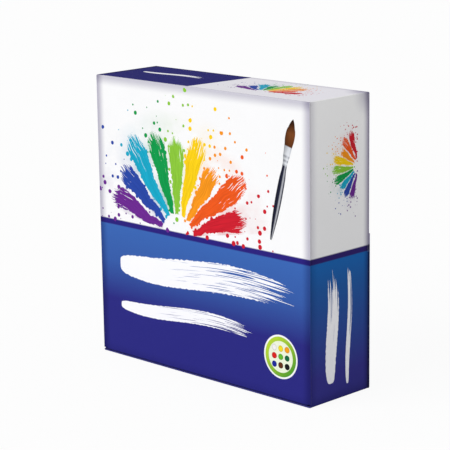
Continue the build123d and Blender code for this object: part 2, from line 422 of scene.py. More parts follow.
# %% [markdown]
# ## Loose stroke
# One pull of a flat brush: its middle line sways, its ends taper and its bristles run dry towards
# the far end. Laid large and white on the blue it gives the lower half of the box its weight.

# %% Group for a loose stroke
LOOSE_INK = "#fbfbff"
SWAY_TURN = 5.4             # radians of the sway's wave over the stroke's length
TAPER_POWER = 0.22          # a low power keeps the stroke wide until near its ends
LOOSE_RAG = 0.12            # how far the edges fray, as a share of half the width
TORN_END = 2.4              # how far the bristles tear the far end, in widths
LOOSE_GRAIN = (2.3, 0.035)  # bristle marks for each millimetre across and along
LOOSE_DRYING = (-0.4, 0.5, 0.72, 0.44)      # two places along it, and the noise past which gaps open there


def make_loose_stroke():
    add, under, along, across, length, width, sway, dryness = new_group(
        "loose stroke", "Along", "Across", "Length", "Width", "Sway", "Dryness")
    share = add("/", along, length)
    wave = add("SINE", add("MULTIPLY_ADD", share, SWAY_TURN, 0.5))
    off = add("-", across, add("*", wave, sway))
    room = add("MULTIPLY_ADD", add("*", share, share), -4.0, 1.0)       # 1 in the middle, 0 at both ends
    taper = add("POWER", add("MAXIMUM", room, 0.0), TAPER_POWER)
    half_width = combine(add, "*", taper, width, 0.5)
    ragged = add("TexNoise", add("CombineXYZ", along, across), scale=0.7, detail=3.0)
    ragged = add("*", add("MapRange", ragged, to_min=-LOOSE_RAG, to_max=LOOSE_RAG), half_width)
    edge = add("+", add("-", half_width, add("ABSOLUTE", off)), ragged)
    grain = [add("*", *pair) for pair in zip((off, along), LOOSE_GRAIN)]
    bristles = add("TexNoise", add("CombineXYZ", *grain, width), scale=1.0, detail=3.0)
    torn = add("MapRange", bristles, 0.3, 0.7, 0.0, -TORN_END)
    left_to_go = add("-", add("*", length, 0.5), along)
    edge = add("MINIMUM", edge, add("MULTIPLY_ADD", torn, width, left_to_go))
    shape = add("MapRange", edge, from_max=0.2, **SMOOTH)
    dry_from = add("MapRange", share, *LOOSE_DRYING)
    gaps = add("MapRange", add("-", bristles, dry_from), from_max=0.04, **SMOOTH)
    cover = add("-", 1.0, add("*", gaps, dryness))
    return finish_group(add("Mix", add("*", shape, cover), under, colour(LOOSE_INK), **INK))


loose_group = make_loose_stroke()

# %% [markdown]
# ## Badge and colour chart
# A chart of nine round dabs, three by three, stands for the set. Dividing the face into square cells
# gives each dab its number, and the number picks its colour. The badge is the same chart, small, on a
# pale disc in a lime ring. Using one group inside another keeps the two alike.

# %% Groups for the chart and the badge
CAP_INKS = {"white": "#f1f0ec", "lemon_yellow": "#f6e02a", "golden_yellow": "#f6a01a",
            "scarlet": "#d8221f", "light_green": "#66bb30", "dark_green": "#12693f",
            "ultramarine": "#1d2b9a", "brown": "#64331a", "black": "#17171a"}
CHART_INKS = ["#f4f3f0", *list(CAP_INKS.values())[1:]]      # a dab of white is whiter than its cap
DABS = 3                    # along each side of the chart
BADGE_RINGS = (1.0, 0.92, 0.72)     # reach of the white rim, the lime ring and the pale disc
BADGE_CHART = (0.38, 0.155)         # pitch and radius of its dabs, as shares of its radius
DAB_RADII = (0.84, 1.12)            # a dab's rim wavers between these shares of its radius
DAB_BODY = (0.85, 1.15)             # thin and thick paint
DAB_RIM = (0.0, 0.6, 0.62, 1.0)     # two distances in from the rim, and how bright the paint is there


def make_chart():
    add, under, x, y, pitch, radius = new_group("chart of nine dabs", "Across", "Up", "Pitch", "Radius")
    cells = []
    insides = []
    for along in (x, y):
        scaled = add("/", along, pitch)
        shifted = add("+", scaled, DABS / 2)
        cell = add("FLOOR", shifted)
        centred = add("-", add("-", shifted, cell), 0.5)
        cells.append((cell, add("*", centred, pitch)))
        insides.append(add("LESS_THAN", add("ABSOLUTE", scaled), DABS / 2))
    (column, dab_x), (row, dab_y) = cells
    number = add("MULTIPLY_ADD", add("-", DABS - 1, row), DABS, column)
    share = add("/", add("+", number, 0.5), DABS ** 2)
    spot = add("CombineXYZ", dab_x, dab_y, number)
    wobble = add("MapRange", add("TexNoise", spot, scale=0.3, detail=1.0), 0.0, 1.0, *DAB_RADII)
    edge = add("-", add("*", radius, wobble), length_of(add, dab_x, dab_y))
    dab = combine(add, "*", add("MapRange", edge, from_max=0.12), *insides)
    thick = add("MapRange", add("TexNoise", spot, scale=1.1, detail=3.0), 0.0, 1.0, *DAB_BODY)
    settled = add("MapRange", edge, *DAB_RIM)
    ink = set_stops(add("ValToRGB", share), in_steps(CHART_INKS), "CONSTANT")
    ink = add("VectorMath", ink, add("*", thick, settled), operation="SCALE")
    return finish_group(add("Mix", dab, under, ink, **INK))


chart_group = make_chart()


def make_badge():
    add, under, x, y, radius = new_group("round badge", "Across", "Up", "Radius")
    share = add("/", length_of(add, x, y), radius)
    lift = add("/", add("-", y, x), radius)
    lift = add("MapRange", lift, -1.3, 1.3)
    lime = set_stops(add("ValToRGB", lift), [(0.0, "#4f9a2c"), (1.0, "#b9d83a")])
    for reach, ink in zip(BADGE_RINGS, (colour(WHITE_INK), lime, colour("#eef5db"))):
        disc = add("MapRange", add("-", reach, share), from_max=0.015)
        under = add("Mix", disc, under, ink, **INK)
    pitch, dab = (add("*", radius, part) for part in BADGE_CHART)
    chart = add("Group", node_tree=chart_group, under=under, across=x, up=y, pitch=pitch, radius=dab)
    return finish_group(chart.outputs["Colour"])


badge_group = make_badge()

# %% [markdown]
# ## Picture of a brush
# A round brush lies along one axis, so it needs only a profile: a curve gives half its width for each
# place from the handle's end to the tip of the hair. One ramp along it holds black lacquer, nickelled
# ferrule with its two crimps, and brown hair. A light streak along one side makes it look round.

# %% Group for the brush picture
BRUSH_LENGTH = 48.0
BRUSH_WIDEST = 4.0
FERRULE_END = 0.775
STREAK_AT = -0.35           # across the handle, where -1 and 1 are its sides
STREAK = (0.05, 0.4, 0.55, 0.0)     # two distances from the streak's middle, and how strong it is there
DARK_SIDE = (0.1, 1.0, 1.0, 0.45)   # two places across the handle, and how bright it is there
HAIR_GRAIN = 9.0
HAIR_SHADES = (0.8, 1.2)
BRUSH_PROFILE = [(0.0, 0.1), (0.05, 0.2), (0.3, 0.42), (0.5, 0.4), (0.62, 0.3), (0.7, 0.42), (0.78, 0.5),
                 (0.86, 0.6), (0.93, 0.42), (1.0, 0.02)]
BRUSH_INKS = [(0.0, "#1c1f33"), (0.615, "#23263c"), (0.62, "#8f939c"), (0.64, "#dfe2e7"), (0.66, "#8b8f98"),
              (0.675, "#e3e6ea"), (0.695, "#9a9ea6"), (0.71, "#dcdfe4"), (FERRULE_END, "#c3c7ce"),
              (0.78, "#5a3016"), (0.88, "#7a4522"), (0.96, "#3a1d0d"), (1.0, "#24120a")]


def make_brush():
    add, under, along, across = new_group("picture of a brush", "Along", "Across")
    share = add("/", along, BRUSH_LENGTH)
    profile = add("FloatCurve", value=share)
    points = profile.mapping.curves[0].points
    while len(points) < len(BRUSH_PROFILE):
        points.new(0.5, 0.5)
    for point, place in zip(points, BRUSH_PROFILE):
        point.location = place
    profile.mapping.update()
    half_width = add("*", profile, BRUSH_WIDEST)
    off = add("/", across, half_width)
    edge = add("MapRange", add("-", half_width, add("ABSOLUTE", across)), from_max=0.15)
    shape = combine(add, "*", edge, add("GREATER_THAN", share, 0.0), add("LESS_THAN", share, 1.0))
    streak = add("ABSOLUTE", add("+", off, -STREAK_AT))
    glow = add("*", add("MapRange", streak, *STREAK), add("LESS_THAN", share, FERRULE_END))
    ink = set_stops(add("ValToRGB", share), BRUSH_INKS)
    ink = add("Mix", glow, ink, colour("#e8eaf0"), **INK)
    hairs = add("TexNoise", add("CombineXYZ", add("*", off, HAIR_GRAIN), share), scale=1.0, detail=3.0)
    dark_side = add("MapRange", off, *DARK_SIDE)
    shade = add("MapRange", hairs, 0.3, 0.7, *HAIR_SHADES)
    ink = add("VectorMath", ink, add("*", shade, dark_side), operation="SCALE")
    return finish_group(add("Mix", shape, under, ink, **INK))


brush_group = make_brush()

# %% [markdown]
# ## The carton's print
# All four upright faces share one layout: white above, a narrow violet stripe, then blue that deepens
# to indigo at the foot. One colour ramp over the height holds it, and its stops are heights in
# millimetres. The place comes from an attribute stored on the mesh, the board's place when closed,
# because a crease that bends in a pose would drag the print along if it read its own coordinates.

# %% Layout of the upright faces
HEIGHT_MM = TOP / MM
SIDE_MM = SIDE / MM
FRONT_MM = FRONT / MM
BACK_MM = BACK / MM
HORIZON = 57.0              # millimetres above the base
STRIPE = 2.4
WHITENS_FROM = HEIGHT_MM - 25.0
HAIR = 0.12                 # the width over which one ink gives way to the next
INDIGO = "#2b2a80"
SIDE_INDIGO = "#353388"


def layout_inks(blue, lower_blue, indigo, stripe, blue_depth, indigo_depth, low_white=WHITE_INK,
                high_white=WHITE_INK):
    """Stops of a face's ramp. The blue stays even down to blue_depth and is indigo at indigo_depth.
    low_white and high_white are the white above the stripe and at the top; where they differ it is painted
    light.
    """
    foot = HORIZON - STRIPE
    levels = [(0.0, indigo), (foot - indigo_depth, indigo), (foot - blue_depth, lower_blue),
              (foot - HAIR, blue), (foot, stripe), (HORIZON - HAIR, stripe), (HORIZON, low_white),
              (WHITENS_FROM, WHITE_INK), (HEIGHT_MM, high_white)]
    return [(height / HEIGHT_MM, hex_text) for height, hex_text in levels]


WIDE_INKS = layout_inks("#3b67b4", "#375ca8", INDIGO, "#2b217c", 15.0, 31.0)
# painted light: the side walls' white grows lighter towards the top
SIDE_INKS = layout_inks("#1964b0", "#2059a1", SIDE_INDIGO, "#2d1f68", 10.0, 44.0, "#f4f4f5", "#ffffff")
print("stops of the wide faces:", [round(place, 3) for place, hex_text in WIDE_INKS])


def board_place(add):
    """The board's place in the closed carton, in millimetres: across X, depth Y, height Z."""
    stored = add("Attribute", attribute_name="closed_place").outputs["Vector"]
    return add("SeparateXYZ", add("VectorMath", stored, 1 / MM, operation="SCALE")).outputs


def layout_colour(add, height, inks):
    return set_stops(add("ValToRGB", add("/", height, HEIGHT_MM)), inks)


# %% [markdown]
# ## Painted edge shade
# A soft lavender shade is painted round the edges of each face, so the white doesn't end in a hard line.
# It is painted shade that stands for the shade at the box's edges and corners, multiplied on the inks.
# At the corner farthest back it spreads wider.

# %% Painted shade along the edges
SHADE_WIDTH = 4.6
CORNER_SPREAD = 2.4         # a shaded corner reaches this many times further in than a shaded edge
# colour of the painted shade, multiplied on the inks towards the edges
PAINTED_EDGE_SHADE = "#8a83a4"


def paint_edge_shade(add, ink, *edges):
    """Painted lavender shade that grows towards each edge. An edge is (its darkest share, *gaps), and a gap
    is a pair whose difference is the distance. Two gaps make a corner, whose painted shade spreads wider."""
    for darkest, *gaps in edges:
        gaps = [add("-", *gap) for gap in gaps]
        distance = gaps[0] if len(gaps) == 1 else add("/", length_of(add, *gaps), CORNER_SPREAD)
        fade = add("MapRange", distance, 0.0, SHADE_WIDTH, darkest, 0.0, **SMOOTH)
        ink = add("Mix", fade, ink, colour(PAINTED_EDGE_SHADE), blend_type="MULTIPLY", **INK)
    return ink


print(f"shade {SHADE_WIDTH} mm wide, at a corner {SHADE_WIDTH * CORNER_SPREAD:.1f} mm")

# %% [markdown]
# ## Coated board
# The outside is clay-coated folding board, offset printed under a thin matt varnish. The photograph
# shows hardly any gloss on it, so its specular level is far below the usual 0.5. Pressed pulp is
# faintly wavy. Its real fibre marks are some tenths of a millimetre wide and can't be seen at this
# distance, so they are drawn about a millimetre wide.

# %% Coated board
PULP_PER_METRE = 900.0
PATCHES_PER_METRE = 60.0
VARNISH = (0.46, 0.6)       # lowest and highest roughness
VARNISH_SPECULAR = 0.04


def coated_board(material, ink):
    add = adder(material.node_tree)
    spot = add("TexCoord").outputs["Object"]
    pulp = add("TexNoise", spot, scale=PULP_PER_METRE, detail=4.0)
    patches = add("TexNoise", spot, scale=PATCHES_PER_METRE, detail=2.0)
    tint = add("MapRange", patches, to_min=0.975, to_max=1.01)
    ink = add("VectorMath", ink, tint, operation="SCALE")
    gloss = add("MapRange", pulp, 0.0, 1.0, *VARNISH)
    return finish_surface(material, ink, gloss, pulp, strength=0.25, depth=0.02 * MM,
                          specular_ior_level=VARNISH_SPECULAR)


print(f"pulp {1000 / PULP_PER_METRE:.1f} mm, patches {1000 / PATCHES_PER_METRE:.1f} mm")

# %% [markdown]
# ## Front, sides and back
# Each face starts from the layout, gets the painted shade along its edges and then its motifs, one over the
# other.
# Wide faces read across X and up Z. The side walls are mirror images of each other, so both take one
# material, and its fan and strokes stand on end, as print does that is read with the box laid down.

# %% Print of the upright faces


def lay_fan(add, ink, across, up, reach, seed):
    """The fan, as large as its reach. Each pair is a coordinate and its value at the fan's middle."""
    across, up = (add("/", add("-", *pair), reach) for pair in (across, up))
    return add("Group", node_tree=fan_group, under=ink, across=across, up=up, seed=seed)


def lay_loose(add, ink, along, across, dryness=1.0, **sizes):
    """A loose stroke, placed by the same pairs."""
    along, across = (add("-", *pair) for pair in (along, across))
    return add("Group", node_tree=loose_group, under=ink, along=along, across=across, dryness=dryness,
               **sizes)


def turned(add, across, up, degrees):
    """Places turned so that the first of them runs at that angle."""
    cosine, sine = math.cos(math.radians(degrees)), math.sin(math.radians(degrees))
    return (add("MULTIPLY_ADD", up, sine, add("*", across, cosine)),
            add("MULTIPLY_ADD", up, cosine, add("*", across, -sine)))


def wide_layout(name, right_shade):
    material, add = new_material(name)
    x, y, z = board_place(add)
    # painted shade along the four edges of the front and the back
    ink = paint_edge_shade(add, layout_colour(add, z, WIDE_INKS), (0.66, (x, -SIDE_MM)),
                      (right_shade, (SIDE_MM, x)), (0.52, (HEIGHT_MM, z)), (0.25, (z, 0.0)))
    return material, add, x, z, ink


def print_front():
    material, add, x, z, ink = wide_layout("printed board, front", 0.6)
    ink = lay_fan(add, ink, (x, -12.0), (z, HORIZON - 2.0), reach=45.0, seed=0.7)
    ink = lay_loose(add, ink, (x, 2.0), (z, 40.5), length=96.0, width=12.0, sway=1.8)
    ink = lay_loose(add, ink, (x, -8.0), (z, 23.0), length=76.0, width=6.0, sway=1.5)
    along, beside = turned(add, add("-", x, 38.0), add("-", z, 61.5), 76.0)
    ink = add("Group", node_tree=brush_group, under=ink, along=along, across=beside)
    ink = add("Group", node_tree=badge_group, under=ink, across=add("-", x, 42.5),
              up=add("-", z, 17.0), radius=8.6)
    return coated_board(material, ink)


def print_side():
    material, add = new_material("printed board, sides")
    x, y, z = board_place(add)
    behind = (BACK_MM, y)
    # painted shade along the edges, darkest along the back edge and spreading wide in the top back corner
    ink = paint_edge_shade(add, layout_colour(add, z, SIDE_INKS), (0.34, (y, FRONT_MM)), (1.0, behind),
                      (0.3, (z, 0.0)), (0.7, behind, (HEIGHT_MM, z)))
    ink = lay_fan(add, ink, (z, 88.0), (10.0, y), reach=15.0, seed=3.1)
    ink = lay_loose(add, ink, (z, 29.0), (y, -5.0), length=44.0, width=6.5, sway=0.8)
    ink = lay_loose(add, ink, (z, 28.0), (y, 4.5), 0.8, length=46.0, width=2.6, sway=0.8)
    return coated_board(material, ink)


def print_back():
    material, add, x, z, ink = wide_layout("printed board, back", 0.66)
    ink = add("Group", node_tree=chart_group, under=ink, across=add("-", 0.0, x),
              up=add("-", z, 86.0), pitch=14.0, radius=5.2)
    ink = lay_loose(add, ink, (0.0, x), (z, 33.0), length=84.0, width=8.0, sway=2.2)
    return coated_board(material, ink)


front_print = print_front()
side_print = print_side()
back_print = print_back()

# %% [markdown]
# ## Top and bottom
# The top wall has a navy block on the left, whose edge runs at a slant, and a small fan on white.
# Nothing is printed on the bottom but the indigo of the faces around it.

# %% Print of the top and bottom walls
NAVY_EDGE = -SIDE_MM + 0.45 * 2 * SIDE_MM       # where the block ends at the front
NAVY_SLANT = 0.1            # its edge runs this much to the right for each millimetre to the back
NAVY = "#07046e"


def print_top():
    material, add = new_material("printed board, top")
    x, y, z = board_place(add)
    slanted = add("MULTIPLY_ADD", add("-", y, FRONT_MM), -NAVY_SLANT, x)
    in_block = add("MapRange", slanted, NAVY_EDGE - HAIR, NAVY_EDGE, 1.0, 0.0)
    white = lay_fan(add, colour("#f5f3fa"), (x, 25.0), (y, -9.0), reach=19.0, seed=6.4)
    block = lay_loose(add, colour(NAVY), (x, -32.0), (y, 2.0), length=34.0, width=3.0, sway=1.0)
    behind = (BACK_MM, y)
    ink = add("Mix", in_block, white, block, **INK)
    # painted shade along the back and left edges and in the back right corner
    return coated_board(material, paint_edge_shade(add, ink, (0.45, behind), (0.6, (x, -SIDE_MM)),
                                              (0.8, behind, (SIDE_MM, x))))


def print_plain(name, hex_text):
    material, add = new_material(name)
    return coated_board(material, colour(hex_text)[:3])


top_print = print_top()
bottom_print = print_plain("printed board, bottom", INDIGO)

# %% [markdown]
# ## Unprinted board
# The inside of folding board is uncoated: warm grey-white, matt, with darker fibres in it. Where the
# die has cut it, the edge shows its plies, a white coating over a grey middle and a cream back. An
# attribute that runs from 0 at the outer face to 1 at the inner one draws them. Where a printed panel
# is cut, the die drags ink and varnish over the edge, so from a little way off the edge reads as the
# print, and so does a narrow lip on the inside. Edge and lip also carry painted shade, darker towards
# the front and darkest at the back, which darkens them and the gaps beside them. The dust flaps and
# the seam are coated but carry no ink. On the tongue the front's ink runs a little way past the crease,
# as a printer lets it, so that the crease never shows a white line. Fibres are drawn far wider than
# they are, to show.

# %% Board materials
# the lip takes the edges' ink together with its painted shade
LIP_WIDTH = 1.6             # millimetres that the ink runs round a cut edge, on to the inside
LIP_HEIGHT = 3.0            # the lip at the front ends this far above the base
LIP_DEPTH = 1.2 * BOARD / MM
BLEED = 4.0                 # millimetres of the front's ink that run past the crease, on to the tongue
PLAIN_COATING = "#f3f3f1"
FIBRES_PER_METRE = 1300.0
CLOUDS_PER_METRE = 110.0
TEARS_PER_METRE = 4000.0
INKED_TEARS_PER_METRE = 1500.0
PULP_INKS = [(0.0, "#d0cabd"), (0.3, "#dfdace"), (0.7, "#e4e0d6"), (1.0, "#e8e5dc")]
PLY_INKS = [(0.0, "#f4f3f0"), (0.28, "#ebe9e3"), (0.36, "#b9b3a6"), (0.85, "#c4beb1"), (1.0, "#ddd6c6")]


def edge_ink_and_shade(add, y, z):
    """The side walls' print with painted shade towards the front and back, for the edges beside them."""
    return paint_edge_shade(add, layout_colour(add, z, SIDE_INKS), (0.36, (y, FRONT_MM)), (1.0, (BACK_MM, y)))


def uncoated_board(name, inked_shaded_lip=False):
    material, add = new_material(name)
    spot = add("TexCoord").outputs["Object"]
    along_grain = add("Mapping", spot, scale=(1.0, 1.0, 0.35))
    fibres = add("TexNoise", along_grain, scale=FIBRES_PER_METRE, detail=4.0)
    clouds = add("TexNoise", spot, scale=CLOUDS_PER_METRE, detail=3.0)
    share = add("MapRange", add("MULTIPLY_ADD", clouds, 0.2, fibres), 0.34, 0.86)
    ink = set_stops(add("ValToRGB", share), PULP_INKS)
    if inked_shaded_lip:
        x, y, z = board_place(add)
        at_front = add("LESS_THAN", y, FRONT_MM + LIP_WIDTH)
        at_sides = add("GREATER_THAN", add("ABSOLUTE", x), SIDE_MM - LIP_WIDTH)
        front_lip = add("*", at_front, add("LESS_THAN", z, LIP_HEIGHT))
        back_lip = add("*", at_sides, add("GREATER_THAN", y, BACK_MM - LIP_DEPTH))
        # the lip: side print with painted shade, dark in the gaps at the front foot and at the back
        ink = add("Mix", add("MAXIMUM", front_lip, back_lip), ink, edge_ink_and_shade(add, y, z), **INK)
    return finish_surface(material, ink, 0.85, fibres, strength=0.5, depth=0.04 * MM)


def cut_edge():
    material, add = new_material("die-cut edge of board")
    torn = add("TexNoise", add("TexCoord").outputs["Object"], scale=TEARS_PER_METRE, detail=3.0)
    ply = add("Attribute", attribute_name="ply").outputs["Fac"]
    ink = set_stops(add("ValToRGB", add("MULTIPLY_ADD", torn, 0.25, ply)), PLY_INKS)
    return finish_surface(material, ink, 0.9, torn, strength=0.6, depth=0.03 * MM)


def inked_shaded_edge():
    material, add = new_material("die-cut edge of printed board")
    torn = add("TexNoise", add("TexCoord").outputs["Object"], scale=INKED_TEARS_PER_METRE, detail=4.0)
    ply = add("Attribute", attribute_name="ply").outputs["Fac"]
    x, y, z = board_place(add)
    bare = add("MapRange", add("*", torn, ply), 0.3, 0.7, 0.0, 0.2)
    # side print with painted shade, and bare fibres where the ink is torn
    ink = add("Mix", bare, edge_ink_and_shade(add, y, z), colour("#8f8a86"), **INK)
    return finish_surface(material, ink, 0.8, torn, strength=0.5, depth=0.03 * MM, specular_ior_level=0.15)


def bled_coating():
    material, add = new_material("coated board, ink bled past the crease")
    x, y, z = board_place(add)
    past = add("MapRange", y, FRONT_MM + BLEED - HAIR, FRONT_MM + BLEED)
    return coated_board(material, add("Mix", past, colour(INDIGO), colour(PLAIN_COATING), **INK))


inside_board = uncoated_board("uncoated board")
lip_board = uncoated_board("uncoated board with an inked lip", inked_shaded_lip=True)
edge_board = cut_edge()
printed_shaded_edge = inked_shaded_edge()
plain_board = print_plain("coated board, no ink", PLAIN_COATING)
bled_board = bled_coating()

# %% [markdown]
# ## Board pieces
# A folded sheet could be a plane with Solidify and Bevel. Here each piece is drawn the way a carton
# is folded: a path seen along the crease, made of straight runs and folds, is swept between two ends.
# A fold turns towards the inside of the board about a centre, so its outer skin is a true arc.
# The ends may change along the path, which gives the tapered flaps and their round corners.

# %% Path of a folded board
FOLD_RUN = math.pi / 2 * CREASE
PANEL_STEPS = 24
SIDE_STEPS = 20
BACK_STEPS = 14
WALL_STEPS = 12
FLAP_STEPS = 8
CORNER_STEPS = 8
GLUE_STEPS = 6


def fold_path(start, heading, hand, *moves):
    """Points of the outer and inner skin. Moves are ("run", length, steps) and ("fold", degrees, steps)."""
    outer = Vector(start)
    angle = math.radians(heading)
    travelled = 0.0

    def inward():
        return Vector((-math.sin(angle), math.cos(angle))) * hand

    path = [(outer.copy(), outer + inward() * BOARD, travelled)]
    for kind, amount, steps in moves:
        for step in range(steps):
            if kind == "run":
                outer = outer + Vector((math.cos(angle), math.sin(angle))) * (amount / steps)
                travelled += amount / steps
            else:
                centre = outer + inward() * CREASE
                angle += math.radians(amount) * hand / steps
                outer = centre - inward() * CREASE
                travelled += math.radians(amount) * CREASE / steps
            path.append((outer.copy(), outer + inward() * BOARD, travelled))
    return path


def corner_run(length, radius):
    """One straight run in even steps, then short ones round the corner that close up at its end."""
    reached = [radius * math.sin(math.pi / 2 * step / CORNER_STEPS) for step in range(CORNER_STEPS + 1)]
    return [("run", length - radius, FLAP_STEPS), *(("run", b - a, 1) for a, b in zip(reached, reached[1:]))]


def ends_at(low, high, rise=0.0, fall=0.0, start=0.0, corner=0.0, length=0.0):
    """Ends of a sweep at a point of its path. They may slope inwards from start on, and round off."""
    def ends(travelled):
        along = max(0.0, travelled - start)
        past = max(0.0, travelled - (length - corner))
        cut = corner - math.sqrt(max(0.0, corner ** 2 - past ** 2))
        return low + rise * along + cut, high - fall * along - cut
    return ends


quarter_fold = ("fold", 90, CREASE_STEPS)
print(f"a quarter fold takes {FOLD_RUN / MM:.2f} mm of board")

# %% [markdown]
# ## Sweeping the board
# Each point of the path becomes a row of vertices, one for each skin. Two attributes go with them: the
# ply, which tells the outer face from the inner one, and the place in the closed carton, for the
# print. A sine over both directions bellies a panel out a little, because full cartons are never flat.

# %% Sweep of a board piece
BOARD_SHARP = 40            # degrees between faces, past which their edge is a hard one
AXES = {"X": lambda a, b, along: (along, a, b), "Y": lambda a, b, along: (a, along, b),
        "Z": lambda a, b, along: (a, b, along)}


def finish_mesh(name, shape, sharp_degrees):
    """A smooth mesh with its faces turned outwards and its hard edges marked."""
    bmesh.ops.recalc_face_normals(shape, faces=shape.faces)
    for face in shape.faces:
        face.smooth = True
    mesh = bpy.data.meshes.new(name)
    shape.to_mesh(mesh)
    shape.free()
    mesh.set_sharp_from_angle(angle=math.radians(sharp_degrees))
    return mesh


def sweep_board(name, path, axis, ends, outside, inside=inside_board, belly=0.0, steps=PANEL_STEPS):
    """A closed piece of board."""
    shape = bmesh.new()
    ply_layer = shape.verts.layers.float.new("ply")
    place_layer = shape.verts.layers.float_vector.new("closed_place")
    rows = []
    for outer, inner, travelled in path:
        low, high = ends(travelled)
        bulge_across = math.sin(math.pi * travelled / path[-1][2])
        row = []
        for share in (step / steps for step in range(steps + 1)):
            along = low + (high - low) * share
            bulge = (outer - inner).normalized() * belly * bulge_across * math.sin(math.pi * share)
            pair = []
            for skin, ply in ((outer, 0.0), (inner, 1.0)):
                vert = shape.verts.new(AXES[axis](*(skin + bulge), along))
                vert[ply_layer] = ply
                vert[place_layer] = AXES[axis](*skin, along)
                pair.append(vert)
            row.append(pair)
        rows.append(row)
    cuts = [(rows[0], range(steps)), (rows[-1], range(steps))]
    for side in (0, steps):
        cuts.append(([row[side] for row in rows], range(len(rows) - 1)))
    for upper, lower in zip(rows, rows[1:]):
        for j in range(steps):
            square = (upper[j], lower[j], lower[j + 1], upper[j + 1])
            shape.faces.new([pair[0] for pair in square]).material_index = 0
            shape.faces.new([pair[1] for pair in reversed(square)]).material_index = 1
    for pairs, places in cuts:
        for i in places:
            shape.faces.new([*pairs[i], *reversed(pairs[i + 1])]).material_index = 2
    mesh = finish_mesh(name, shape, BOARD_SHARP)
    for material in (outside, inside, edge_board if outside == plain_board else printed_shaded_edge):
        mesh.materials.append(material)
    piece = add_object(name, mesh)
    print(f"{name}: {len(mesh.polygons)} faces, path {path[-1][2] / MM:.1f} mm")
    return piece


def sweep_panel(node, name, *shape, body="carton", **choices):
    """A panel that moves with one body and replaces that node of the CAD model."""
    panel = sweep_board(name, *shape, **choices)
    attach(panel, body)
    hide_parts(node)


def sweep_crease(name, path, axis, ends, outside):
    """A crease as a piece of its own, with its transform baked into its mesh."""
    crease = sweep_board(name, path, axis, ends, outside)
    start, end = (AXES[axis](*point[1], 0) for point in (path[0], path[-1]))
    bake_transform(crease)
    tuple(start)
    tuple(end)


print("panels take", PANEL_STEPS, "steps along a crease, the walls", WALL_STEPS)

# %% [markdown]
# ## Lid and its creases
# The lid covers the whole front. Its upper crease joins it to the top wall and its lower one to the
# tongue. Real board bends over the width of a crease, so each crease is a piece of its own. It starts
# and ends exactly where its neighbours do. The lower crease bulges down until it rests on the bottom
# wall, as a tucked flap's crease does.

# %% Lid, tongue and their creases
tongue_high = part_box("tuck_tongue")[1]
REST_GAP = 0.1 * MM         # the crease rests on the bottom wall, but for this
TONGUE_CORNER = 6 * MM
rest_height = BOARD + REST_GAP
tilt = math.atan2(tongue_high.z - BOARD - rest_height, tongue_high.y - FRONT)
to_centre = CREASE - BOARD * math.sin(tilt)
centre_height = rest_height + (CREASE + to_centre * math.sin(tilt)) / math.cos(tilt)
lid_top = TOP - CREASE
full_width = ends_at(-SIDE, SIDE)

lid_path = fold_path((FRONT, lid_top), -90, 1, ("run", lid_top - centre_height, PANEL_STEPS))
upper_path = fold_path((FRONT + CREASE, TOP), 180, 1, quarter_fold)
lower_path = fold_path((FRONT, centre_height), -90, 1, ("fold", 90 + math.degrees(tilt), CREASE_STEPS))
sweep_panel("lid_panel", "printed_lid", lid_path, "X", full_width, front_print, body="lid", belly=BELLY)
sweep_crease("lid_crease", upper_path, "X", full_width, front_print)
sweep_crease("tongue_crease", lower_path, "X", ends_at(-tongue_high.x, tongue_high.x),
             front_print)

tongue_start = lower_path[-1][0]
tongue_length = (tongue_high.y - BOARD * math.sin(tilt) - tongue_start.x) / math.cos(tilt)
tongue_path = fold_path(tongue_start, math.degrees(tilt), 1, *corner_run(tongue_length, TONGUE_CORNER))
ends = ends_at(-tongue_high.x, tongue_high.x, corner=TONGUE_CORNER, length=tongue_length)
sweep_panel("tuck_tongue", "tuck_in_tongue", tongue_path, "X", ends, bled_board, body="tongue")
print(f"tongue: tilt {math.degrees(tilt):.2f} degrees, {tongue_length / MM:.2f} mm past its crease")

# %% [markdown]
# ## Walls
# Four narrow walls make the tube. A wall's own creases belong to it: the right wall rolls over into
# the top and the bottom wall, and the left wall rolls in under the top wall, where the glue flap
# makes the seam. The side walls reach forward above and below the dust flaps.

# %% Walls
side_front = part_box("wall_right")[0].y
flap_low, flap_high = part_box("dust_flap_right")
upper_back_low, upper_back_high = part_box("back_flap_upper")
top_back = upper_back_high.y - CREASE
bottom_back = BACK - CREASE
wall_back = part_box("back_flap_right")[1].y - CREASE
HAIRLINE = 0.02 * MM        # length of the short run in which an end steps forward or back

top_path = fold_path((-SIDE, TOP), 0, -1, ("run", WIDTH - CREASE, PANEL_STEPS))
sweep_panel("wall_top", "top_wall", top_path, "Y", ends_at(FRONT + CREASE, top_back), top_print,
            steps=WALL_STEPS)
bottom_path = fold_path((SIDE - CREASE, 0), 180, -1, ("run", WIDTH - 2 * CREASE, PANEL_STEPS))
sweep_panel("wall_bottom", "bottom_wall", bottom_path, "Y", ends_at(FRONT, bottom_back), bottom_print,
            lip_board, steps=WALL_STEPS)


def side_wall(word, hand, top):
    above = top - CREASE - flap_high.z
    beside = flap_high.z - flap_low.z
    below = flap_low.z - CREASE
    total = 2 * FOLD_RUN + above + beside + below
    flap_from = FOLD_RUN + above + HAIRLINE / 2
    flap_to = FOLD_RUN + above + beside - HAIRLINE / 2

    def ends(travelled):
        if travelled < FOLD_RUN - HAIRLINE / 2:
            return FRONT + CREASE, top_back if hand > 0 else wall_back
        if travelled > total - FOLD_RUN + HAIRLINE / 2:
            return FRONT, bottom_back
        return side_front if flap_from < travelled < flap_to else flap_low.y, wall_back

    path = fold_path((hand * (SIDE - CREASE), top), 0 if hand > 0 else 180, -hand, quarter_fold,
                     ("run", above, 1), ("run", HAIRLINE, 1), ("run", beside - 2 * HAIRLINE, SIDE_STEPS),
                     ("run", HAIRLINE, 1), ("run", below, 1), quarter_fold)
    sweep_panel(f"wall_{word}", f"{word}_wall", path, "Y", ends, side_print, lip_board, SIDE_BELLY,
                WALL_STEPS)


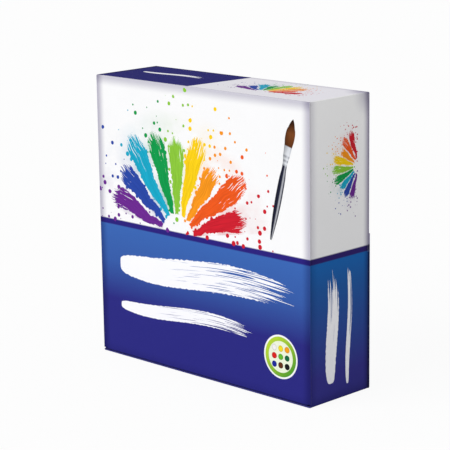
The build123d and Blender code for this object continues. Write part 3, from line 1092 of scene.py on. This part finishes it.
side_wall("right", 1, TOP)
side_wall("left", -1, TOP - BOARD)

# %% [markdown]
# ## Glue flap and back
# The seam is a flap from the left wall under the top wall. The back is closed for good by two inner
# flaps from the side walls and two outer ones, the lower glued over the upper, so its edge shows as
# a step across the middle of the back.

# %% Glue flap and back
GLUE_TAPER = 2 * MM
BACK_TAPER = 3 * MM
glue_low, glue_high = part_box("glue_flap")
glue_width = glue_high.x + SIDE - CREASE
slope = GLUE_TAPER / glue_width
glue_path = fold_path((-SIDE + CREASE, TOP - BOARD), 0, -1, ("run", glue_width, GLUE_STEPS))
sweep_panel("glue_flap", "seam_flap", glue_path, "Y", ends_at(glue_low.y, wall_back, slope, slope),
            plain_board, steps=WALL_STEPS)

for word, hand in (("left", -1), ("right", 1)):
    node = f"back_flap_{word}"
    low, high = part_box(node)
    reach = high.x - low.x - CREASE
    slope = BACK_TAPER / reach
    path = fold_path((hand * SIDE, wall_back), 90, hand, quarter_fold, ("run", reach, FLAP_STEPS))
    sweep_panel(node, f"inner_back_{word}", path, "Z", ends_at(low.z, high.z, slope, slope, FOLD_RUN),
                side_print)

ends = ends_at(upper_back_low.x, upper_back_high.x)
upper_reach = TOP - CREASE - upper_back_low.z
lower_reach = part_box("back_flap_lower")[1].z - CREASE
upper_path = fold_path((top_back, TOP), 0, -1, quarter_fold, ("run", upper_reach, BACK_STEPS))
lower_path = fold_path((bottom_back, 0), 0, 1, quarter_fold, ("run", lower_reach, BACK_STEPS))
sweep_panel("back_flap_upper", "upper_back", upper_path, "X", ends, back_print)
sweep_panel("back_flap_lower", "lower_back", lower_path, "X", ends, back_print, lip_board)

# %% [markdown]
# ## Dust flaps
# Two flaps fold in behind the lid and keep dust off the jars. Their upper edge falls away and their
# free corners are round, so that they never catch on the lid or on a cap. Each has a crease of its own.

# %% Dust flaps and their creases
FLAP_TAPER = 0.6
FLAP_FOOT_TAPER = 0.2
FLAP_CORNER = 5 * MM

for word, hand in (("left", -1), ("right", 1)):
    body = f"{word}_dust_flap"
    node = f"dust_flap_{word}"
    low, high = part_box(node)
    reach = high.x - low.x - CREASE
    foot_fall, head_fall = FLAP_FOOT_TAPER * CREASE, FLAP_TAPER * CREASE
    path = fold_path((hand * (SIDE - CREASE), low.y), 180 if hand > 0 else 0, -hand,
                     *corner_run(reach, FLAP_CORNER))
    ends = ends_at(low.z + foot_fall, high.z - head_fall, FLAP_FOOT_TAPER, FLAP_TAPER, corner=FLAP_CORNER,
                   length=reach)
    sweep_panel(node, f"folded_flap_{word}", path, "Z", ends, plain_board, body=body)

    path = fold_path((hand * SIDE, side_front), -90, -hand, quarter_fold)
    ends = ends_at(low.z, high.z, foot_fall / FOLD_RUN, head_fall / FOLD_RUN)
    sweep_crease(f"flap_crease_{word}", path, "Z", ends, side_print)

# %% [markdown]
# ## Cap outline
# The jars show when the box is open. A cap's skirt and top are one outline spun round its axis: a
# shallow panel with the pip that the moulding gate leaves, a rounded rim and a hollow skirt.

# %% Cap outline
cap_low, cap_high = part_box("jar_cap_1")
cup_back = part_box("jar_cup_1")[1].y
liner_low, liner_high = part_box("jar_liner_1")
RIB_HEIGHT = 0.4 * MM
CAP_STEPS = 96
PANEL_RADIUS = 15 * MM
PANEL_DEPTH = 0.3 * MM
EDGE_RADIUS = 1.2 * MM
EDGE_STEPS = 8
LINER_GAP = 0.3 * MM
cap_radius = (cap_high.x - cap_low.x) / 2 - RIB_HEIGHT
bore_radius = (liner_high.x - liner_low.x) / 2 + LINER_GAP
skirt_foot = cup_back - cap_high.y
cap_face = cup_back - cap_low.y
ceiling = cup_back - liner_low.y


def cap_outline():
    """(radius, distance from the jar's foot), from the middle of the top down to the middle inside."""
    panel = cap_face - PANEL_DEPTH
    pip = [(0.0, -0.18), (0.7, -0.16), (0.95, -0.02), (1.2, 0.1), (1.6, 0.0)]
    points = [(radius * MM, panel + height * MM) for radius, height in pip]
    points += [(PANEL_RADIUS - 0.2 * MM, panel), (PANEL_RADIUS, panel + 0.06 * MM),
               (PANEL_RADIUS + 0.12 * MM, cap_face - 0.08 * MM), (PANEL_RADIUS + 0.35 * MM, cap_face)]
    for turn in (math.pi / 2 * step / EDGE_STEPS for step in range(EDGE_STEPS + 1)):
        points.append((cap_radius - EDGE_RADIUS + EDGE_RADIUS * math.sin(turn),
                       cap_face - EDGE_RADIUS + EDGE_RADIUS * math.cos(turn)))
    return points + [(cap_radius, skirt_foot + 0.25 * MM), (cap_radius - 0.08 * MM, skirt_foot + 0.06 * MM),
                     (cap_radius - 0.25 * MM, skirt_foot), (bore_radius + 0.15 * MM, skirt_foot),
                     (bore_radius, skirt_foot + 0.2 * MM), (bore_radius, ceiling), (0.0, ceiling)]


def spin_outline(name, points, steps, sharp_degrees):
    shape = bmesh.new()
    rings = []
    for radius, along in points:
        turns = [2 * math.pi * step / steps for step in range(steps if radius else 1)]
        rings.append([shape.verts.new((radius * math.cos(turn), radius * math.sin(turn), along))
                      for turn in turns])
    for upper, lower in zip(rings, rings[1:]):
        for step in range(steps):
            following = (step + 1) % steps
            corners = [ring[place % len(ring)] for ring, place in ((upper, step), (lower, step),
                                                                   (lower, following), (upper, following))]
            shape.faces.new(list(dict.fromkeys(corners)))
    return finish_mesh(name, shape, sharp_degrees)


print(f"cap radius {cap_radius / MM:.2f} mm, bore {bore_radius / MM:.2f} mm")

# %% [markdown]
# ## Grip ribs
# Forty-eight ribs give the fingers grip, and all look alike, so Geometry Nodes set one rib on each
# point of a circle. A rib is a line made plump by its curve radius, with closed round ends. The tree
# has named inputs for its sizes and ends in real geometry with its material.

# %% Tree for the ribs
RIB_COUNT = 48
RIB_RADIUS = 0.5 * MM
RIB_FOOT = 0.55 * MM        # a rib starts this far above the skirt's edge
RIB_RINGS = 9
RIB_SIDES = 10
ROUNDNESS = 8.0             # a high power keeps a rib's width even until near its ends


def rib_tree():
    tree = bpy.data.node_groups.new("grip ribs", "GeometryNodeTree")
    add = adder(tree)
    identifiers = {}
    kinds = {"Geometry": "Geometry", "Ribs": "Int", "Ring radius": "Float", "Rib radius": "Float",
             "Foot": "Float", "Head": "Float", "Material": "Material"}
    for label, kind in kinds.items():
        socket = tree.interface.new_socket(name=label, in_out="INPUT", socket_type=f"NodeSocket{kind}")
        identifiers[label] = socket.identifier
    tree.interface.new_socket(name="Geometry", in_out="OUTPUT", socket_type="NodeSocketGeometry")
    inputs = add("NodeGroupInput").outputs
    line = add("GeometryNodeCurvePrimitiveLine", start=add("CombineXYZ", z=inputs["Foot"]),
               end=add("CombineXYZ", z=inputs["Head"]))
    line = add("GeometryNodeResampleCurve", curve=line, count=RIB_RINGS)
    share = add("GeometryNodeSplineParameter").outputs["Factor"]
    steep = add("POWER", add("MULTIPLY_ADD", share, 2.0, -1.0), ROUNDNESS)
    plump = add("POWER", add("-", 1.02, steep), 0.5)
    line = add("GeometryNodeSetCurveRadius", curve=line, radius=plump)
    section = add("GeometryNodeCurvePrimitiveCircle", resolution=RIB_SIDES, radius=inputs["Rib radius"])
    rib = add("GeometryNodeCurveToMesh", curve=line, profile_curve=section, fill_caps=True)
    ring = add("GeometryNodeCurvePrimitiveCircle", resolution=inputs["Ribs"], radius=inputs["Ring radius"])
    joined = add("GeometryNodeJoinGeometry", add("GeometryNodeInstanceOnPoints", points=ring, instance=rib))
    tree.links.new(inputs["Geometry"], joined.inputs[0])
    real = add("GeometryNodeRealizeInstances", joined)
    add("NodeGroupOutput", add("GeometryNodeSetMaterial", geometry=real, material=inputs["Material"]))
    return tree, identifiers


tree, identifiers = rib_tree()
print(f"rib tree: {len(tree.nodes)} nodes, inputs {', '.join(identifiers)}")

# %% [markdown]
# ## Moulded polypropylene and gouache
# Caps and cups are injection moulded: satin, slightly waxy, with faint flow marks and the fine grain
# of a spark-eroded mould, drawn at a third of a millimetre so that it shows. Wet gouache shines in
# some places and is dull in others, because its skin dries unevenly.

# %% Finishes of the jars
FLOW_PER_METRE = 90.0
GRAIN_PER_METRE = 3200.0
SKIN_PER_METRE = 260.0


def speckled(add, hex_text, noise, *ranges):
    """One ink, lighter and darker with a noise."""
    shade = add("MapRange", noise, *ranges)
    return add("VectorMath", colour(hex_text)[:3], shade, operation="SCALE")


def moulded_plastic(name, hex_text, roughness=0.38, see_through=0.0):
    material, add = new_material(name)
    spot = add("TexCoord").outputs["Object"]
    flow = add("TexNoise", spot, scale=FLOW_PER_METRE, detail=3.0, distortion=1.2)
    grain = add("TexNoise", spot, scale=GRAIN_PER_METRE, detail=2.0)
    ink = speckled(add, hex_text, flow, 0.3, 0.7, 0.96, 1.03)
    gloss = add("MapRange", grain, to_min=roughness - 0.05, to_max=roughness + 0.07)
    return finish_surface(material, ink, gloss, grain, strength=0.2, depth=0.02 * MM, ior=1.49,
                          subsurface_weight=0.08, subsurface_scale=0.6 * MM,
                          transmission_weight=see_through)


def wet_gouache(name, hex_text):
    material, add = new_material(name)
    skin = add("TexNoise", add("TexCoord").outputs["Object"], scale=SKIN_PER_METRE, detail=3.0)
    gloss = add("MapRange", skin, to_min=0.18, to_max=0.5)
    ink = speckled(add, hex_text, skin, 0.0, 1.0, 0.88, 1.08)
    return finish_surface(material, ink, gloss, skin, strength=0.4, depth=0.2 * MM, ior=1.4)


cap_material = {word: moulded_plastic(f"polypropylene cap, {word}", hex_text)
                for word, hex_text in CAP_INKS.items()}

# %% [markdown]
# ## The finished cap
# The modifier's inputs are set by their sockets' identifiers. The evaluated object then becomes a
# plain mesh, ribs and all, and the model with its modifier goes.

# %% Cap with its ribs
CAP_SHARP = 50
model = add_object("cap_model", spin_outline("cap_model", cap_outline(), CAP_STEPS, CAP_SHARP))
modifier = model.modifiers.new("Ribs", "NODES")
modifier.node_group = tree
rib_sizes = {"Ribs": RIB_COUNT, "Ring radius": cap_radius + RIB_HEIGHT - RIB_RADIUS,
             "Rib radius": RIB_RADIUS, "Foot": skirt_foot + RIB_FOOT, "Head": cap_face - EDGE_RADIUS,
             "Material": cap_material["white"]}
for label, value in rib_sizes.items():
    modifier[identifiers[label]] = value
evaluated = model.evaluated_get(bpy.context.evaluated_depsgraph_get())
cap_mesh = bpy.data.meshes.new_from_object(evaluated)
bpy.data.objects.remove(model)
cap_mesh.shade_smooth()
cap_mesh.set_sharp_from_angle(angle=math.radians(CAP_SHARP))
print(f"cap: {len(cap_mesh.polygons)} faces with {RIB_COUNT} ribs, {cap_face / MM:.2f} mm over the foot")

# %% [markdown]
# ## Jars
# The cap was made upright on the origin. A copy goes to each jar, turned so that its top faces the
# front. Caps are tightened by hand, so no two stand at the same angle. Cups, paint and liners have
# their true shape in the CAD model, so they stay and only get their finish: natural polypropylene
# that lets some light through, wet gouache, and closed-cell foam. The colour words come from the
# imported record, so caps, paints and record can't disagree.

# %% Caps, cups, paint and liners
TIGHTENED = 23              # degrees by which each cap stands further round than the one before
slot_of = {part["node"]: part["material_slot"] for part in frame["record"]["subparts"]}
facing = Matrix.Rotation(math.radians(90), 4, "X")
cup_material = moulded_plastic("natural polypropylene", "#e9e8e2", 0.42, 0.25)
liner_material = moulded_plastic("foam liner", "#ecebe8", 0.8)
jar_count = sum(node.startswith("jar_cap_") for node in slot_of)

for number in range(1, jar_count + 1):
    node = f"jar_cap_{number}"
    word = slot_of[node].removeprefix("cap_")
    low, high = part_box(node)
    mesh = cap_mesh.copy()
    mesh.materials.clear()
    mesh.materials.append(cap_material[word])
    middle = Matrix.Translation(((low.x + high.x) / 2, cup_back, (low.z + high.z) / 2))
    mesh.transform(middle @ facing @ Matrix.Rotation(math.radians(TIGHTENED * number), 4, "Z"))
    cap = add_object(f"ribbed_cap_{number}", mesh)
    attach(cap, f"cap_{number}")
    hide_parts(node)
    word = slot_of[f"jar_paint_{number}"].removeprefix("paint_")
    for kind, material in (("cup", cup_material), ("liner", liner_material),
                           ("paint", wet_gouache(f"gouache, {word}", CAP_INKS[word]))):
        node_mesh = frame["nodes"][f"jar_{kind}_{number}"].data
        node_mesh.materials.clear()
        node_mesh.materials.append(material)
print(jar_count, "jars")
